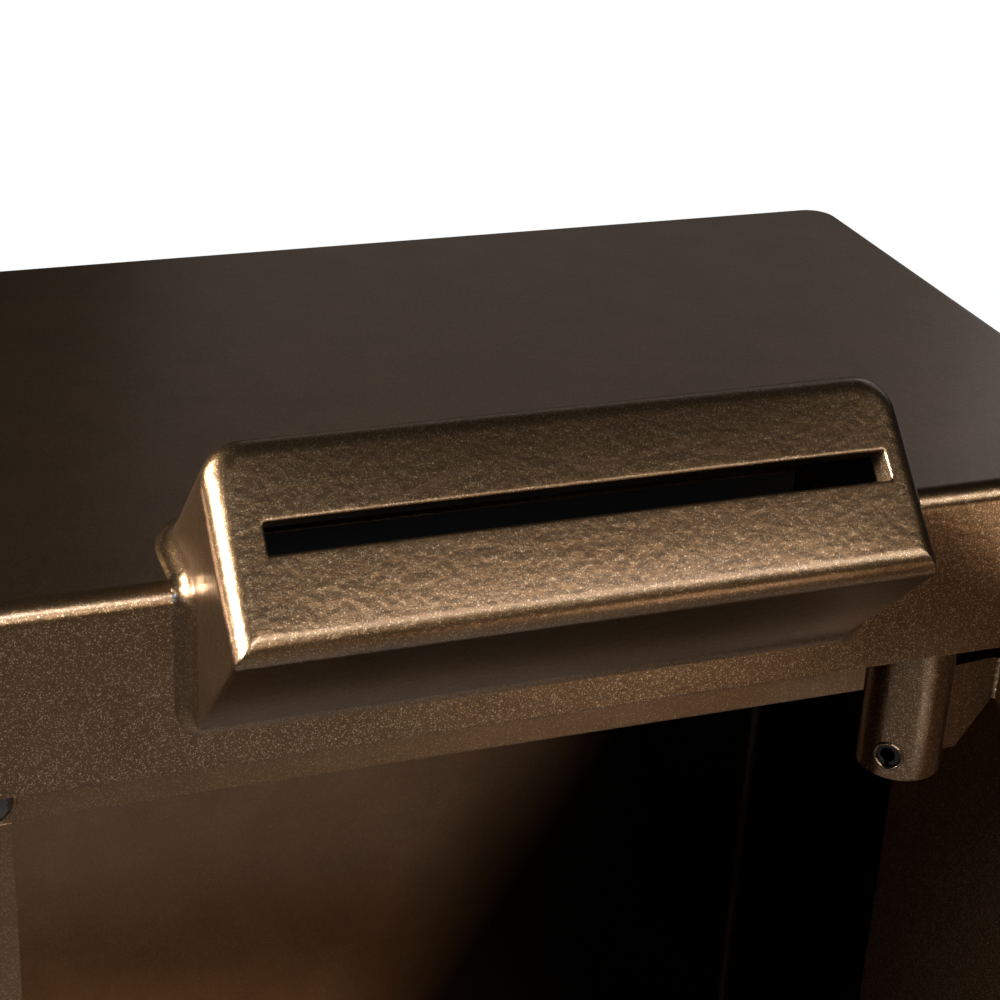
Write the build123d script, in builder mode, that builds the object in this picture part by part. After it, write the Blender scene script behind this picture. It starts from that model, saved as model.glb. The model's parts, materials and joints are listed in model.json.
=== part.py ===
from build123d import *
import math
import os

os.makedirs("parts", exist_ok=True)

# Body shell
# All sizes in millimetres. X runs to the right, Y to the back, Z up.
# The origin is the centre of the base's underside.
body_width = 300.0
body_depth = 172.8
body_height = 351.3
sheet = 3.0
back_bend_radius = 8.0
front_bend_radius = 4.0
top_edge_radius = 2.4
rail_height = 40.1
sill_height = 25.0
flange_width = 12.0

# Anchor holes through the floor and the back
anchor_hole_radius = 5.25
base_anchor_spacing_x = 160.0
base_anchor_spacing_y = 100.0
back_anchor_spacing = 180.0
back_anchor_height = 250.0

# Deposit hood, a deep slanted nose over the top front edge
hood_width = 140.0
hood_face_height = 42.4
hood_face_reach = 25.1
hood_shift_up = -0.9
hood_edge_radius = 5.0
hood_weld_radius = 5.5
hood_plate = 6.0
hood_wall = 4.0
slot_width = 124.2
slot_height = 6.2
slot_shift_x = 1.2
slot_shift_up = 0.85
slot_corner_radius = 0.6

# Baffle that keeps a hooked wire from reaching the notes
baffle_sheet = 1.5
baffle_gap = 14.0
baffle_top_flange = 16.0
baffle_drop = 30.0
baffle_lip = 14.0
baffle_side_clearance = 8.0
baffle_tooth_count = 9
baffle_tooth_depth = 5.0

# Door and its stop lips
door_thickness = 6.0
door_gap = 2.0
door_edge_bevel = 1.0
door_hinge_bevel = 2.5
open_angle = 95.0
lip_sheet = 2.5
lip_reach = 11.2
lip_weld_width = 10.0
lip_end_gap = 24.9
strike_width = 42.7
buffer_height = 2.0
buffer_radius = 4.8
buffer_crown_radius = 2.6
buffer_rim = 0.6
buffer_stem_radius = 2.0
buffer_stem_fit = 0.1
buffer_clearance = 0.3
buffer_inset_x = 4.7

# Pivot hinges welded inside the door
hinge_inset_x = 44.0
hinge_inset_y = 29.0
knuckle_radius = 10.0
knuckle_length = 34.0
knuckle_below_rail = 12.2
knuckle_chamfer = 1.0
hinge_gap = 0.3
hinge_pin_radius = 5.0
hinge_pin_fit = 0.05
hinge_pin_reach = 16.0
hinge_pin_inset = 1.0
washer_thickness = 1.5
arm_plate = 6.0
arm_below_knuckle_top = 9.0
arm_door_height = 11.0
arm_toe_reach = 14.0
roll_pin_radius = 3.0
roll_pin_inset = 0.6
roll_pin_height = 6.0
roll_pin_wall = 1.2
roll_pin_slit = 1.0
roll_pin_angle = 42.0

# Lock, screwed to the inside of the door
lock_width = 60.0
lock_height = 100.0
lock_depth = 20.0
lock_wall = 2.5
lock_cover_sheet = 2.5
lock_inset_x = 70.0
lock_rise = 11.9
lock_corner = 1.5
lock_boss_width = 11.0
lock_screw_radius = 2.5
lock_screw_head_radius = 4.5
lock_screw_head_height = 2.6
lock_screw_inset = 7.0
lock_screw_fit = 0.15
tongue_height = 24.0
tongue_thickness = 6.0
tongue_face_gap = 3.0
tongue_rise = 26.0
tongue_length = 44.0
tongue_fit = 0.3
lever_sheet = 1.7
lever_gap = 0.3
lever_count = 3
lever_width = 15.0
lever_stump_radius = 3.0
lever_stump_fit = 0.1
lever_stump_inset_x = 11.0
lever_stump_rise = 36.0

# Key and its keyhole
key_rise = -9.0
key_inset_x = 30.0
key_shank_radius = 3.0
key_fit = 0.3
key_bit_radius = 11.0
key_bit_thickness = 2.2
key_bow_radius = 13.0
key_bow_thickness = 3.0
key_bow_rim = 3.0
key_neck = 14.0
keyhole_slot = 3.4
escutcheon_radius = 13.5
escutcheon_height = 2.0
door_keyhole_radius = 12.0

# Round bolts on their bar
bolt_radius = 6.0
bolt_tip_chamfer = 1.5
bolt_throw = 18.0
bolt_end_inset = 73.1
bolt_fit = 0.1
bolt_bar_sheet = 4.0
bolt_bar_width = 16.0
bolt_bar_overhang = 10.0
bolt_strike_clearance = 3.3
bolt_behind_lip = 1.7
guide_sheet = 4.0
guide_height = 26.0
guide_foot = 16.0
guide_bend_radius = 3.0
guide_bar_clearance = 5.0

# Planes and heights that several pieces share
front_y = -body_depth / 2
rail_back_y = front_y + sheet
rail_edge_z = body_height - rail_height
inner_half_width = body_width / 2 - sheet
aperture_half_width = body_width / 2 - flange_width
door_back_y = front_y + door_thickness
lip_face_y = door_back_y + buffer_height + buffer_clearance
lip_back_y = lip_face_y + lip_sheet
hinge_x = body_width / 2 - hinge_inset_x
hinge_y = front_y + hinge_inset_y
aperture_mid_z = (sill_height + rail_edge_z) / 2
knuckle_top_z = rail_edge_z - knuckle_below_rail
lower_knuckle_z = 2 * aperture_mid_z - knuckle_top_z


# The closed door's own axes, turned about the hinge to the open rest pose
turn = math.radians(open_angle)
door_right = Vector(math.cos(turn), math.sin(turn), 0)
door_inward = Vector(-math.sin(turn), math.cos(turn), 0)


def door_point(x, y, z):
    """Where a point of the closed door lies with the door open."""
    return Vector(hinge_x, hinge_y, z) + door_right * (x - hinge_x) + door_inward * (y - hinge_y)


def door_face_plane(x, y, z):
    """Plane parallel to the door, seen from outside, with its normal outward."""
    return Plane(origin=door_point(x, y, z), x_dir=door_right, z_dir=-door_inward)


def door_level_plane(x, y, z):
    """Horizontal plane on the door's axes, with its normal up."""
    return Plane(origin=door_point(x, y, z), x_dir=door_right, z_dir=Vector(0, 0, 1))


def door_side_plane(x, y, z):
    """Upright plane across the door, with its normal towards the hinge side."""
    return Plane(origin=door_point(x, y, z), x_dir=door_inward, z_dir=door_right)


def save(piece, label):
    """Label one finished piece and write it."""
    piece.part.label = label
    export_step(piece.part, f"parts/{label}.step")


# Side wrap: left wall, back and right wall bent from one sheet, with front flanges
with BuildPart() as side_wrap:
    with BuildSketch(Plane.XY.offset(sheet)) as wrap_plan:
        Rectangle(body_width, body_depth)
        fillet(wrap_plan.vertices().group_by(Axis.Y)[-1], back_bend_radius)
        fillet(wrap_plan.vertices().group_by(Axis.Y)[0], front_bend_radius)
        offset(amount=-sheet, mode=Mode.SUBTRACT)
        with Locations((0, front_y)):
            Rectangle(2 * aperture_half_width, 2 * front_bend_radius, mode=Mode.SUBTRACT)
    extrude(amount=body_height - 2 * sheet)
    # The rail and the sill cover the ends of the flanges
    with BuildSketch(Plane.XY.offset(rail_edge_z)):
        with Locations((0, front_y)):
            Rectangle(body_width, 2 * sheet)
    extrude(amount=rail_height, mode=Mode.SUBTRACT)
    with BuildSketch(Plane.XY.offset(sheet)):
        with Locations((0, front_y)):
            Rectangle(body_width, 2 * sheet)
    extrude(amount=sill_height - sheet, mode=Mode.SUBTRACT)
    with Locations(Plane.XZ.offset(front_y)):
        with Locations((0, back_anchor_height)):
            with GridLocations(back_anchor_spacing, 1, 2, 1):
                Hole(anchor_hole_radius, depth=2 * sheet)
save(side_wrap, "side_wrap")


def fold_section(level, fold, down):
    """Section of a panel whose front edge folds into a rail, with down +1 or -1."""
    with BuildSketch(Plane.YZ) as section:
        with BuildLine():
            Polyline(
                (-front_y, level),
                (front_y, level),
                (front_y, level - down * fold),
                (rail_back_y, level - down * fold),
                (rail_back_y, level - down * sheet),
                (-front_y, level - down * sheet),
                close=True,
            )
        make_face()
        outer = section.vertices().sort_by_distance((front_y, level, 0))[0]
        inner = section.vertices().sort_by_distance((rail_back_y, level - down * sheet, 0))[0]
        fillet(outer, front_bend_radius)
        fillet(inner, front_bend_radius - sheet)
    return section.sketch


# Deposit hood section: the slanted face lies across the body's top front edge
slope = math.sqrt(0.5)
hood_top = hood_shift_up + hood_face_height / 2
hood_bottom = hood_shift_up - hood_face_height / 2


def hood_point(up, out):
    """Section point, up the slope and out from the corner line of the body's top and front."""
    return (front_y + (up - out) * slope, body_height + (up + out) * slope)


def hood_plane(up, out):
    """Plane of the slanted face, its Y up the slope and its normal outward."""
    y, z = hood_point(up, out)
    return Plane(origin=(0, y, z), x_dir=(1, 0, 0), z_dir=(0, -slope, slope))


hood_inner_width = hood_width - 2 * hood_wall
roof_foot_y = front_y + hood_top / slope
rail_foot_z = body_height + hood_bottom / slope
throat_back_y = front_y + (hood_top - hood_wall) / slope
throat_low_z = body_height + (hood_bottom + hood_wall) / slope

# Top cover: roof plate with the front rail folded down, open behind the hood
with BuildPart() as top_cover:
    add(extrude(fold_section(body_height, rail_height, 1), amount=body_width / 2, both=True))
    fillet(top_cover.edges().filter_by(Axis.Z).group_by(Axis.Y)[-1], back_bend_radius)
    roof_edges = top_cover.faces().sort_by(Axis.Z)[-1].edges()
    rail_front = top_cover.faces().sort_by(Axis.Y)[0]
    rail_ends = rail_front.edges().filter_by(Axis.Z)
    fold_ends = top_cover.edges().filter_by(GeomType.CIRCLE).filter_by(
        lambda e: e.center().Y < rail_back_y and e.radius > front_bend_radius - sheet / 2
    )
    rim = roof_edges.filter_by(lambda e: e.center().Y > rail_back_y)
    fillet(rim + rail_ends + fold_ends, top_edge_radius)
    with BuildSketch(Plane.YZ) as throat:
        with BuildLine():
            Polyline(
                (front_y - sheet, body_height + sheet),
                (front_y - sheet, throat_low_z),
                (rail_back_y + sheet, throat_low_z),
                (rail_back_y + sheet, body_height - 2 * sheet),
                (throat_back_y, body_height - 2 * sheet),
                (throat_back_y, body_height + sheet),
                close=True,
            )
        make_face()
    extrude(amount=hood_inner_width / 2, both=True, mode=Mode.SUBTRACT)
save(top_cover, "top_cover")

# Base pan: floor plate with the front sill folded up
with BuildPart() as base_pan:
    add(extrude(fold_section(0, sill_height, -1), amount=body_width / 2, both=True))
    fillet(base_pan.edges().filter_by(Axis.Z).group_by(Axis.Y)[-1], back_bend_radius)
    with Locations(Plane.XY.offset(sheet)):
        with GridLocations(base_anchor_spacing_x, base_anchor_spacing_y, 2, 2):
            Hole(anchor_hole_radius, depth=2 * sheet)
save(base_pan, "base_pan")

# Deposit hood: slanted nose with a slot, welded over the top front edge and blended
with BuildPart() as deposit_hood:
    with BuildSketch(Plane.YZ) as hood_section:
        with BuildLine():
            Polyline(
                hood_point(hood_top, hood_face_reach),
                hood_point(hood_bottom, hood_face_reach),
                (front_y, rail_foot_z),
                (front_y, body_height),
                (roof_foot_y, body_height),
                close=True,
            )
        make_face()
        fillet(hood_section.vertices().sort_by_distance((front_y, body_height, 0))[0], front_bend_radius)
    extrude(amount=hood_width / 2, both=True)

    def on_body(edge):
        """Whether an edge lies on the body's top, front or the bend between them."""
        box = edge.bounding_box()
        behind = box.min.Y > front_y - 0.01
        below = box.max.Z < body_height + 0.01
        return (behind and below) or (behind and box.max.Y < front_y + 0.01) or (
            below and box.min.Z > body_height - 0.01
        )

    fillet(deposit_hood.edges().filter_by(lambda edge: not on_body(edge)), hood_edge_radius)
    # A block stands in for the body while the weld fillets are made, and is then cut away
    weld_reach = hood_face_height + 2 * hood_weld_radius
    with BuildSketch(Plane.YZ) as body_block:
        with Locations((front_y + weld_reach / 2, body_height - weld_reach / 2)):
            Rectangle(weld_reach, weld_reach)
        fillet(body_block.vertices().sort_by_distance((front_y, body_height, 0))[0], front_bend_radius)
    extrude(amount=hood_width / 2 + weld_reach, both=True)

    def at_foot(edge):
        """Whether an edge is part of the line where the hood meets the body."""
        box = edge.bounding_box()
        within = max(-box.min.X, box.max.X) < hood_width / 2 + 0.01
        level = box.min.Z > body_height - front_bend_radius - 0.01 and box.max.Z < body_height + 0.01
        upright = box.min.Y > front_y - 0.01 and box.max.Y < front_y + front_bend_radius + 0.01
        inside = box.max.Y < roof_foot_y + 0.01 and box.min.Z > rail_foot_z - 0.01
        return within and inside and (level or upright) and on_body(edge)

    fillet(deposit_hood.edges().filter_by(at_foot), hood_weld_radius)
    extrude(body_block.sketch, amount=hood_width / 2 + 2 * weld_reach, both=True, mode=Mode.SUBTRACT)
    # Hollow behind the slanted plate
    with BuildSketch(Plane.YZ):
        with BuildLine():
            Polyline(
                hood_point(hood_top - hood_wall, hood_face_reach - hood_plate),
                hood_point(hood_bottom + hood_wall, hood_face_reach - hood_plate),
                (front_y, throat_low_z),
                (front_y + front_bend_radius, body_height - front_bend_radius),
                (throat_back_y, body_height),
                close=True,
            )
        make_face()
    extrude(amount=hood_inner_width / 2, both=True, mode=Mode.SUBTRACT)
    # Slot, square to the slanted face
    slot_up = hood_shift_up + slot_shift_up
    with BuildSketch(hood_plane(slot_up, hood_face_reach)) as slot_mouth:
        with Locations((slot_shift_x, 0)):
            Rectangle(slot_width, slot_height)
        fillet(slot_mouth.vertices(), slot_corner_radius)
    extrude(amount=-hood_plate, mode=Mode.SUBTRACT)
    # The lower lip is relieved straight down behind the face, so that a note is not caught
    lip_up = slot_up - slot_height / 2
    with BuildSketch(Plane.YZ.offset(slot_shift_x - slot_width / 2)):
        with BuildLine():
            Polyline(
                hood_point(lip_up, hood_face_reach),
                hood_point(lip_up - hood_plate, hood_face_reach - hood_plate),
                hood_point(lip_up + slot_height / 2, hood_face_reach - hood_plate),
                hood_point(lip_up + slot_height / 2, hood_face_reach),
                close=True,
            )
        make_face()
    extrude(amount=slot_width, mode=Mode.SUBTRACT)
save(deposit_hood, "deposit_hood")

# Fishing baffle: thin bent sheet under the roof, with a toothed lip under the throat
baffle_width = hood_inner_width + 2 * baffle_side_clearance
baffle_y = throat_back_y + baffle_gap
roof_under_z = body_height - sheet
with BuildPart() as fishing_baffle:
    with BuildSketch(Plane.YZ):
        with BuildLine():
            FilletPolyline(
                (baffle_y + baffle_top_flange, roof_under_z),
                (baffle_y, roof_under_z),
                (baffle_y, roof_under_z - baffle_drop),
                (baffle_y - baffle_lip * slope, roof_under_z - baffle_drop - baffle_lip * slope),
                radius=2 * baffle_sheet,
            )
            offset(amount=baffle_sheet, side=Side.LEFT)
        make_face()
    extrude(amount=baffle_width / 2, both=True)
    lip_tip = (baffle_y - baffle_lip * slope, roof_under_z - baffle_drop - baffle_lip * slope)
    lip_plane = Plane(origin=(0, lip_tip[0], lip_tip[1]), x_dir=(1, 0, 0), z_dir=(0, -slope, slope))
    tooth_pitch = baffle_width / baffle_tooth_count
    with BuildSketch(lip_plane):
        with GridLocations(tooth_pitch, 1, baffle_tooth_count - 1, 1):
            with Locations((0, -baffle_sheet)):
                RegularPolygon(baffle_tooth_depth + baffle_sheet, 3, rotation=90)
    extrude(amount=2 * baffle_sheet, both=True, mode=Mode.SUBTRACT)
save(fishing_baffle, "fishing_baffle")


def lip_section(rail_edge, into):
    """Joggled strip behind a rail: its face set back, its root welded to the rail."""
    joggle = lip_face_y - rail_back_y
    with BuildSketch(Plane.YZ) as section:
        with BuildLine():
            Polyline(
                (lip_face_y, rail_edge - into * lip_reach),
                (lip_face_y, rail_edge + into * lip_sheet),
                (rail_back_y, rail_edge + into * (lip_sheet + joggle)),
                (rail_back_y, rail_edge + into * (lip_sheet + joggle + lip_weld_width)),
                (rail_back_y + lip_sheet, rail_edge + into * (lip_sheet + joggle + lip_weld_width)),
                (rail_back_y + lip_sheet, rail_edge + into * (2 * lip_sheet + joggle)),
                (lip_back_y, rail_edge + into * 2 * lip_sheet),
                (lip_back_y, rail_edge - into * lip_reach),
                close=True,
            )
        make_face()
    return section.sketch


# Stop lips behind the opening's top, bottom and lock side
lip_start_x = -inner_half_width + front_bend_radius - sheet
lip_length = hinge_x - lip_end_gap - lip_start_x
lip_top_edge_z = rail_edge_z - lip_reach
lip_bottom_edge_z = sill_height + lip_reach
buffer_x = -inner_half_width + strike_width - buffer_inset_x
buffer_z = lip_reach / 2

with BuildPart() as stop_lip_top:
    add(extrude(Pos(lip_start_x, 0, 0) * lip_section(rail_edge_z, 1), amount=lip_length, dir=(1, 0, 0)))
    with Locations(Plane.XZ.offset(-lip_back_y)):
        with Locations((buffer_x, rail_edge_z - buffer_z)):
            Hole(buffer_stem_radius + buffer_stem_fit, depth=2 * lip_sheet)
save(stop_lip_top, "stop_lip_top")

with BuildPart() as stop_lip_bottom:
    add(extrude(Pos(lip_start_x, 0, 0) * lip_section(sill_height, -1), amount=lip_length, dir=(1, 0, 0)))
    with Locations(Plane.XZ.offset(-lip_back_y)):
        with Locations((buffer_x, sill_height + buffer_z)):
            Hole(buffer_stem_radius + buffer_stem_fit, depth=2 * lip_sheet)
save(stop_lip_bottom, "stop_lip_bottom")

with BuildPart() as stop_lip_left:
    with BuildSketch(Plane.XY.offset(lip_bottom_edge_z)):
        with BuildLine():
            Polyline(
                (-inner_half_width, lip_face_y),
                (-inner_half_width + strike_width, lip_face_y),
                (-inner_half_width + strike_width, lip_back_y),
                (-inner_half_width, lip_back_y),
                close=True,
            )
        make_face()
    extrude(amount=lip_top_edge_z - lip_bottom_edge_z)
save(stop_lip_left, "stop_lip_left")


# Two low buttons that the closed door lands on, pressed into the lips
with BuildPart() as buffers:
    for height in (rail_edge_z - buffer_z, sill_height + buffer_z):
        centre = (buffer_x, lip_face_y, height)
        with BuildSketch(Plane(origin=centre, x_dir=(1, 0, 0), z_dir=(0, 0, -1))):
            with BuildLine():
                Line((0, -lip_sheet), (0, buffer_height))
                Line((0, buffer_height), (buffer_crown_radius, buffer_height))
                Line((buffer_crown_radius, buffer_height), (buffer_radius, buffer_rim))
                Line((buffer_radius, buffer_rim), (buffer_radius, 0))
                Line((buffer_radius, 0), (buffer_stem_radius, 0))
                Line((buffer_stem_radius, 0), (buffer_stem_radius, -lip_sheet))
                Line((buffer_stem_radius, -lip_sheet), (0, -lip_sheet))
            make_face()
        revolve(axis=Axis(centre, (0, 1, 0)))
save(buffers, "buffers")

# Hinge posts: round bars welded inside the roof and the floor, bored for the pins
upper_post_z = knuckle_top_z + hinge_gap
lower_post_z = lower_knuckle_z - hinge_gap - washer_thickness
pin_bore = hinge_pin_radius + hinge_pin_fit
pin_bore_depth = hinge_pin_reach + hinge_gap + washer_thickness

with BuildPart() as hinge_posts:
    for post_z, post_length, into in (
        (upper_post_z, roof_under_z - upper_post_z, 1),
        (lower_post_z, lower_post_z - sheet, -1),
    ):
        with BuildSketch(Plane.XY.offset(post_z)):
            with Locations((hinge_x, hinge_y)):
                Circle(knuckle_radius)
        extrude(amount=into * post_length)
        with BuildSketch(Plane.XY.offset(post_z)):
            with Locations((hinge_x, hinge_y)):
                Circle(pin_bore)
        extrude(amount=into * pin_bore_depth, mode=Mode.SUBTRACT)
save(hinge_posts, "hinge_posts")

# Thrust washer that carries the door on the lower post
with BuildPart() as thrust_washer:
    with BuildSketch(Plane.XY.offset(lower_post_z)):
        with Locations((hinge_x, hinge_y)):
            Circle(knuckle_radius - knuckle_chamfer)
            Circle(pin_bore, mode=Mode.SUBTRACT)
    extrude(amount=washer_thickness)
save(thrust_washer, "thrust_washer")

# Door: flat plate, modelled where it stands when open
door_left_x = -aperture_half_width + door_gap
door_right_x = aperture_half_width - door_gap
door_width = door_right_x - door_left_x
door_height = rail_edge_z - sill_height - 2 * door_gap
door_mid_x = (door_left_x + door_right_x) / 2
lock_right_x = hinge_x - lock_inset_x
lock_mid_x = lock_right_x - lock_width / 2
lock_centre_height = aperture_mid_z + lock_rise
key_x = lock_right_x - key_inset_x
key_z = lock_centre_height + key_rise

with BuildPart() as door_plate:
    with BuildSketch(door_face_plane(door_mid_x, door_back_y, aperture_mid_z)):
        Rectangle(door_width, door_height)
    extrude(amount=door_thickness)
    outward = Axis((0, 0, 0), -door_inward)
    rightward = Axis((0, 0, 0), door_right)
    chamfer(door_plate.faces().sort_by(outward)[-1].edges().sort_by(rightward)[-1], door_hinge_bevel)
    chamfer(door_plate.faces().sort_by(outward)[-1].edges().sort_by(rightward)[:-1], door_edge_bevel)
    with BuildSketch(door_face_plane(key_x, front_y, key_z)):
        Circle(door_keyhole_radius)
    extrude(amount=-door_thickness, mode=Mode.SUBTRACT)
save(door_plate, "door_plate")

upper_knuckle_z = knuckle_top_z - knuckle_length
upper_roll_z = upper_knuckle_z + roll_pin_height
lower_roll_z = lower_knuckle_z + knuckle_length - roll_pin_height
arm_reach = hinge_y - door_back_y


def roll_pin_plane(height):
    """Plane square to the cross hole through a knuckle."""
    swing = math.radians(open_angle - roll_pin_angle)
    out = door_inward * math.sin(swing) - door_right * math.cos(swing)
    return Plane(origin=(hinge_x, hinge_y, height), x_dir=(0, 0, 1), z_dir=out)


# Two door arms: a bored knuckle with a gusset plate, welded to the door and tapering from it
with BuildPart() as door_arms:
    for base_z, meeting_z, roll_z, away in (
        (upper_knuckle_z, knuckle_top_z, upper_roll_z, 1),
        (lower_knuckle_z, lower_knuckle_z, lower_roll_z, -1),
    ):
        arm_edge = meeting_z - away * arm_below_knuckle_top
        arm_toe = meeting_z - away * (knuckle_length - 2 * knuckle_chamfer)
        with BuildSketch(door_level_plane(hinge_x, hinge_y, base_z)):
            Circle(knuckle_radius)
        extrude(amount=knuckle_length)
        with BuildSketch(door_side_plane(hinge_x - arm_plate / 2, hinge_y, 0)):
            with BuildLine():
                Polyline(
                    (0, arm_edge),
                    (-arm_reach, arm_edge),
                    (-arm_reach, arm_edge - away * arm_door_height),
                    (-arm_toe_reach, arm_toe),
                    (0, arm_toe),
                    close=True,
                )
            make_face()
        extrude(amount=arm_plate)
        with BuildSketch(door_level_plane(hinge_x, hinge_y, base_z)):
            Circle(pin_bore)
        extrude(amount=knuckle_length, mode=Mode.SUBTRACT)
        with BuildSketch(roll_pin_plane(roll_z)):
            Circle(roll_pin_radius + hinge_pin_fit)
        extrude(amount=2 * knuckle_radius, both=True, mode=Mode.SUBTRACT)
save(door_arms, "door_arms")

# Hinge pins, held in the knuckles by cross pins and running in the posts
pin_length = knuckle_length - hinge_pin_inset + hinge_pin_reach
with BuildPart() as hinge_pins:
    for base_z in (upper_knuckle_z + hinge_pin_inset, lower_knuckle_z - hinge_pin_reach):
        with BuildSketch(door_level_plane(hinge_x, hinge_y, base_z)):
            Circle(hinge_pin_radius)
        extrude(amount=pin_length)
    chamfer(hinge_pins.edges().filter_by(GeomType.CIRCLE), knuckle_chamfer)
    for roll_z in (upper_roll_z, lower_roll_z):
        with BuildSketch(roll_pin_plane(roll_z)):
            Circle(roll_pin_radius + hinge_pin_fit)
        extrude(amount=knuckle_radius, both=True, mode=Mode.SUBTRACT)
save(hinge_pins, "hinge_pins")

# Roll pins: rolled spring steel tubes with a slit
with BuildPart() as roll_pins:
    for roll_z in (upper_roll_z, lower_roll_z):
        with BuildSketch(roll_pin_plane(roll_z)):
            Circle(roll_pin_radius)
            Circle(roll_pin_radius - roll_pin_wall, mode=Mode.SUBTRACT)
            with Locations((-roll_pin_radius, 0)):
                Rectangle(2 * roll_pin_radius, roll_pin_slit, mode=Mode.SUBTRACT)
        extrude(amount=knuckle_radius - roll_pin_inset, both=True)
save(roll_pins, "roll_pins")

# Lock case: tray with screw bosses, open at the left for the tongue
lock_back_y = door_back_y + lock_depth
case_width = lock_width - 2 * lock_wall
case_height = lock_height - 2 * lock_wall
screw_grid_x = lock_width - 2 * lock_screw_inset
screw_grid_z = lock_height - 2 * lock_screw_inset
boss_from_edge = lock_wall + lock_boss_width / 2
tongue_y = door_back_y + lock_wall + tongue_face_gap
tongue_z = key_z + tongue_rise


def keyhole_sketch(y):
    """Keyhole on a plane of the closed door: round for the shank, with a slot for the bit."""
    with BuildSketch(door_face_plane(key_x, y, key_z)) as keyhole:
        Circle(key_shank_radius + key_fit)
        with Locations((0, key_bit_radius / 2)):
            Rectangle(keyhole_slot, key_bit_radius + 2 * key_fit)
    return keyhole.sketch


with BuildPart() as lock_case:
    with BuildSketch(door_face_plane(lock_mid_x, lock_back_y, lock_centre_height)):
        chamfer(Rectangle(lock_width, lock_height).vertices(), lock_corner)
    extrude(amount=lock_depth)
    with BuildSketch(door_face_plane(lock_mid_x, lock_back_y, lock_centre_height)):
        Rectangle(case_width, case_height)
        with GridLocations(lock_width - 2 * boss_from_edge, lock_height - 2 * boss_from_edge, 2, 2):
            Rectangle(lock_boss_width, lock_boss_width, mode=Mode.SUBTRACT)
    extrude(amount=lock_depth - lock_wall, mode=Mode.SUBTRACT)
    with BuildSketch(door_face_plane(lock_mid_x, lock_back_y, lock_centre_height)):
        with GridLocations(screw_grid_x, screw_grid_z, 2, 2):
            Circle(lock_screw_radius + lock_screw_fit)
    extrude(amount=lock_depth, mode=Mode.SUBTRACT)
    extrude(keyhole_sketch(door_back_y), amount=-lock_wall, mode=Mode.SUBTRACT)
    with BuildSketch(door_side_plane(lock_mid_x - lock_width / 2, tongue_y + tongue_thickness / 2, tongue_z)):
        Rectangle(tongue_thickness + 2 * tongue_fit, tongue_height + 2 * tongue_fit)
    extrude(amount=lock_wall, mode=Mode.SUBTRACT)
save(lock_case, "lock_case")

with BuildPart() as lock_cover:
    with BuildSketch(door_face_plane(lock_mid_x, lock_back_y + lock_cover_sheet, lock_centre_height)):
        chamfer(Rectangle(lock_width, lock_height).vertices(), lock_corner)
        with GridLocations(screw_grid_x, screw_grid_z, 2, 2):
            Circle(lock_screw_radius + lock_screw_fit, mode=Mode.SUBTRACT)
    extrude(amount=lock_cover_sheet)
save(lock_cover, "lock_cover")

# Four screws hold the cover and the case to the door
with BuildPart() as lock_screws:
    cover_y = lock_back_y + lock_cover_sheet
    with BuildSketch(door_face_plane(lock_mid_x, cover_y, lock_centre_height)):
        with GridLocations(screw_grid_x, screw_grid_z, 2, 2):
            Circle(lock_screw_radius)
    extrude(amount=lock_depth + lock_cover_sheet)
    with BuildSketch(door_face_plane(lock_mid_x, cover_y, lock_centre_height)):
        with GridLocations(screw_grid_x, screw_grid_z, 2, 2):
            Circle(lock_screw_head_radius)
    extrude(amount=-lock_screw_head_height)
    with BuildSketch(door_face_plane(lock_mid_x, cover_y + lock_screw_head_height, lock_centre_height)):
        with GridLocations(screw_grid_x, screw_grid_z, 2, 2):
            RegularPolygon(lock_screw_radius, 6)
    extrude(amount=lock_screw_head_height / 2, mode=Mode.SUBTRACT)
save(lock_screws, "lock_screws")

# Lever pack on its stump, above the key inside the case
stump_x = lock_right_x - lever_stump_inset_x
stump_z = key_z + lever_stump_rise
levers_y = tongue_y + tongue_thickness + lever_gap
lever_run = stump_x - key_x
with BuildPart() as levers:
    for index in range(lever_count):
        lever_y = levers_y + index * (lever_sheet + lever_gap)
        with BuildSketch(door_face_plane(key_x, lever_y, key_z)):
            with BuildLine():
                Polyline(
                    (lever_run, lever_stump_rise + lever_width / 2),
                    (-lever_run / 2, lever_stump_rise + lever_width / 2),
                    (-lever_run, lever_stump_rise - lever_width / 2),
                    (-lever_run / 2, key_bit_radius),
                    (lever_run / 2, key_bit_radius),
                    (lever_run, lever_stump_rise - lever_width / 2),
                    close=True,
                )
            make_face()
            with Locations((lever_run, lever_stump_rise)):
                RegularPolygon(lever_width / 2, 8, major_radius=False)
                Circle(lever_stump_radius + lever_stump_fit, mode=Mode.SUBTRACT)
            Circle(key_bit_radius + 2 * key_fit, mode=Mode.SUBTRACT)
            with Locations((-lever_run / 2, lever_stump_rise - lever_width / 4)):
                Rectangle(lever_run, lever_width / 2, mode=Mode.SUBTRACT)
        extrude(amount=-lever_sheet)
save(levers, "levers")

with BuildPart() as lever_stump:
    with BuildSketch(door_face_plane(stump_x, lock_back_y, stump_z)):
        Circle(lever_stump_radius)
    extrude(amount=lock_depth - lock_wall)
save(lever_stump, "lever_stump")

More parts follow.
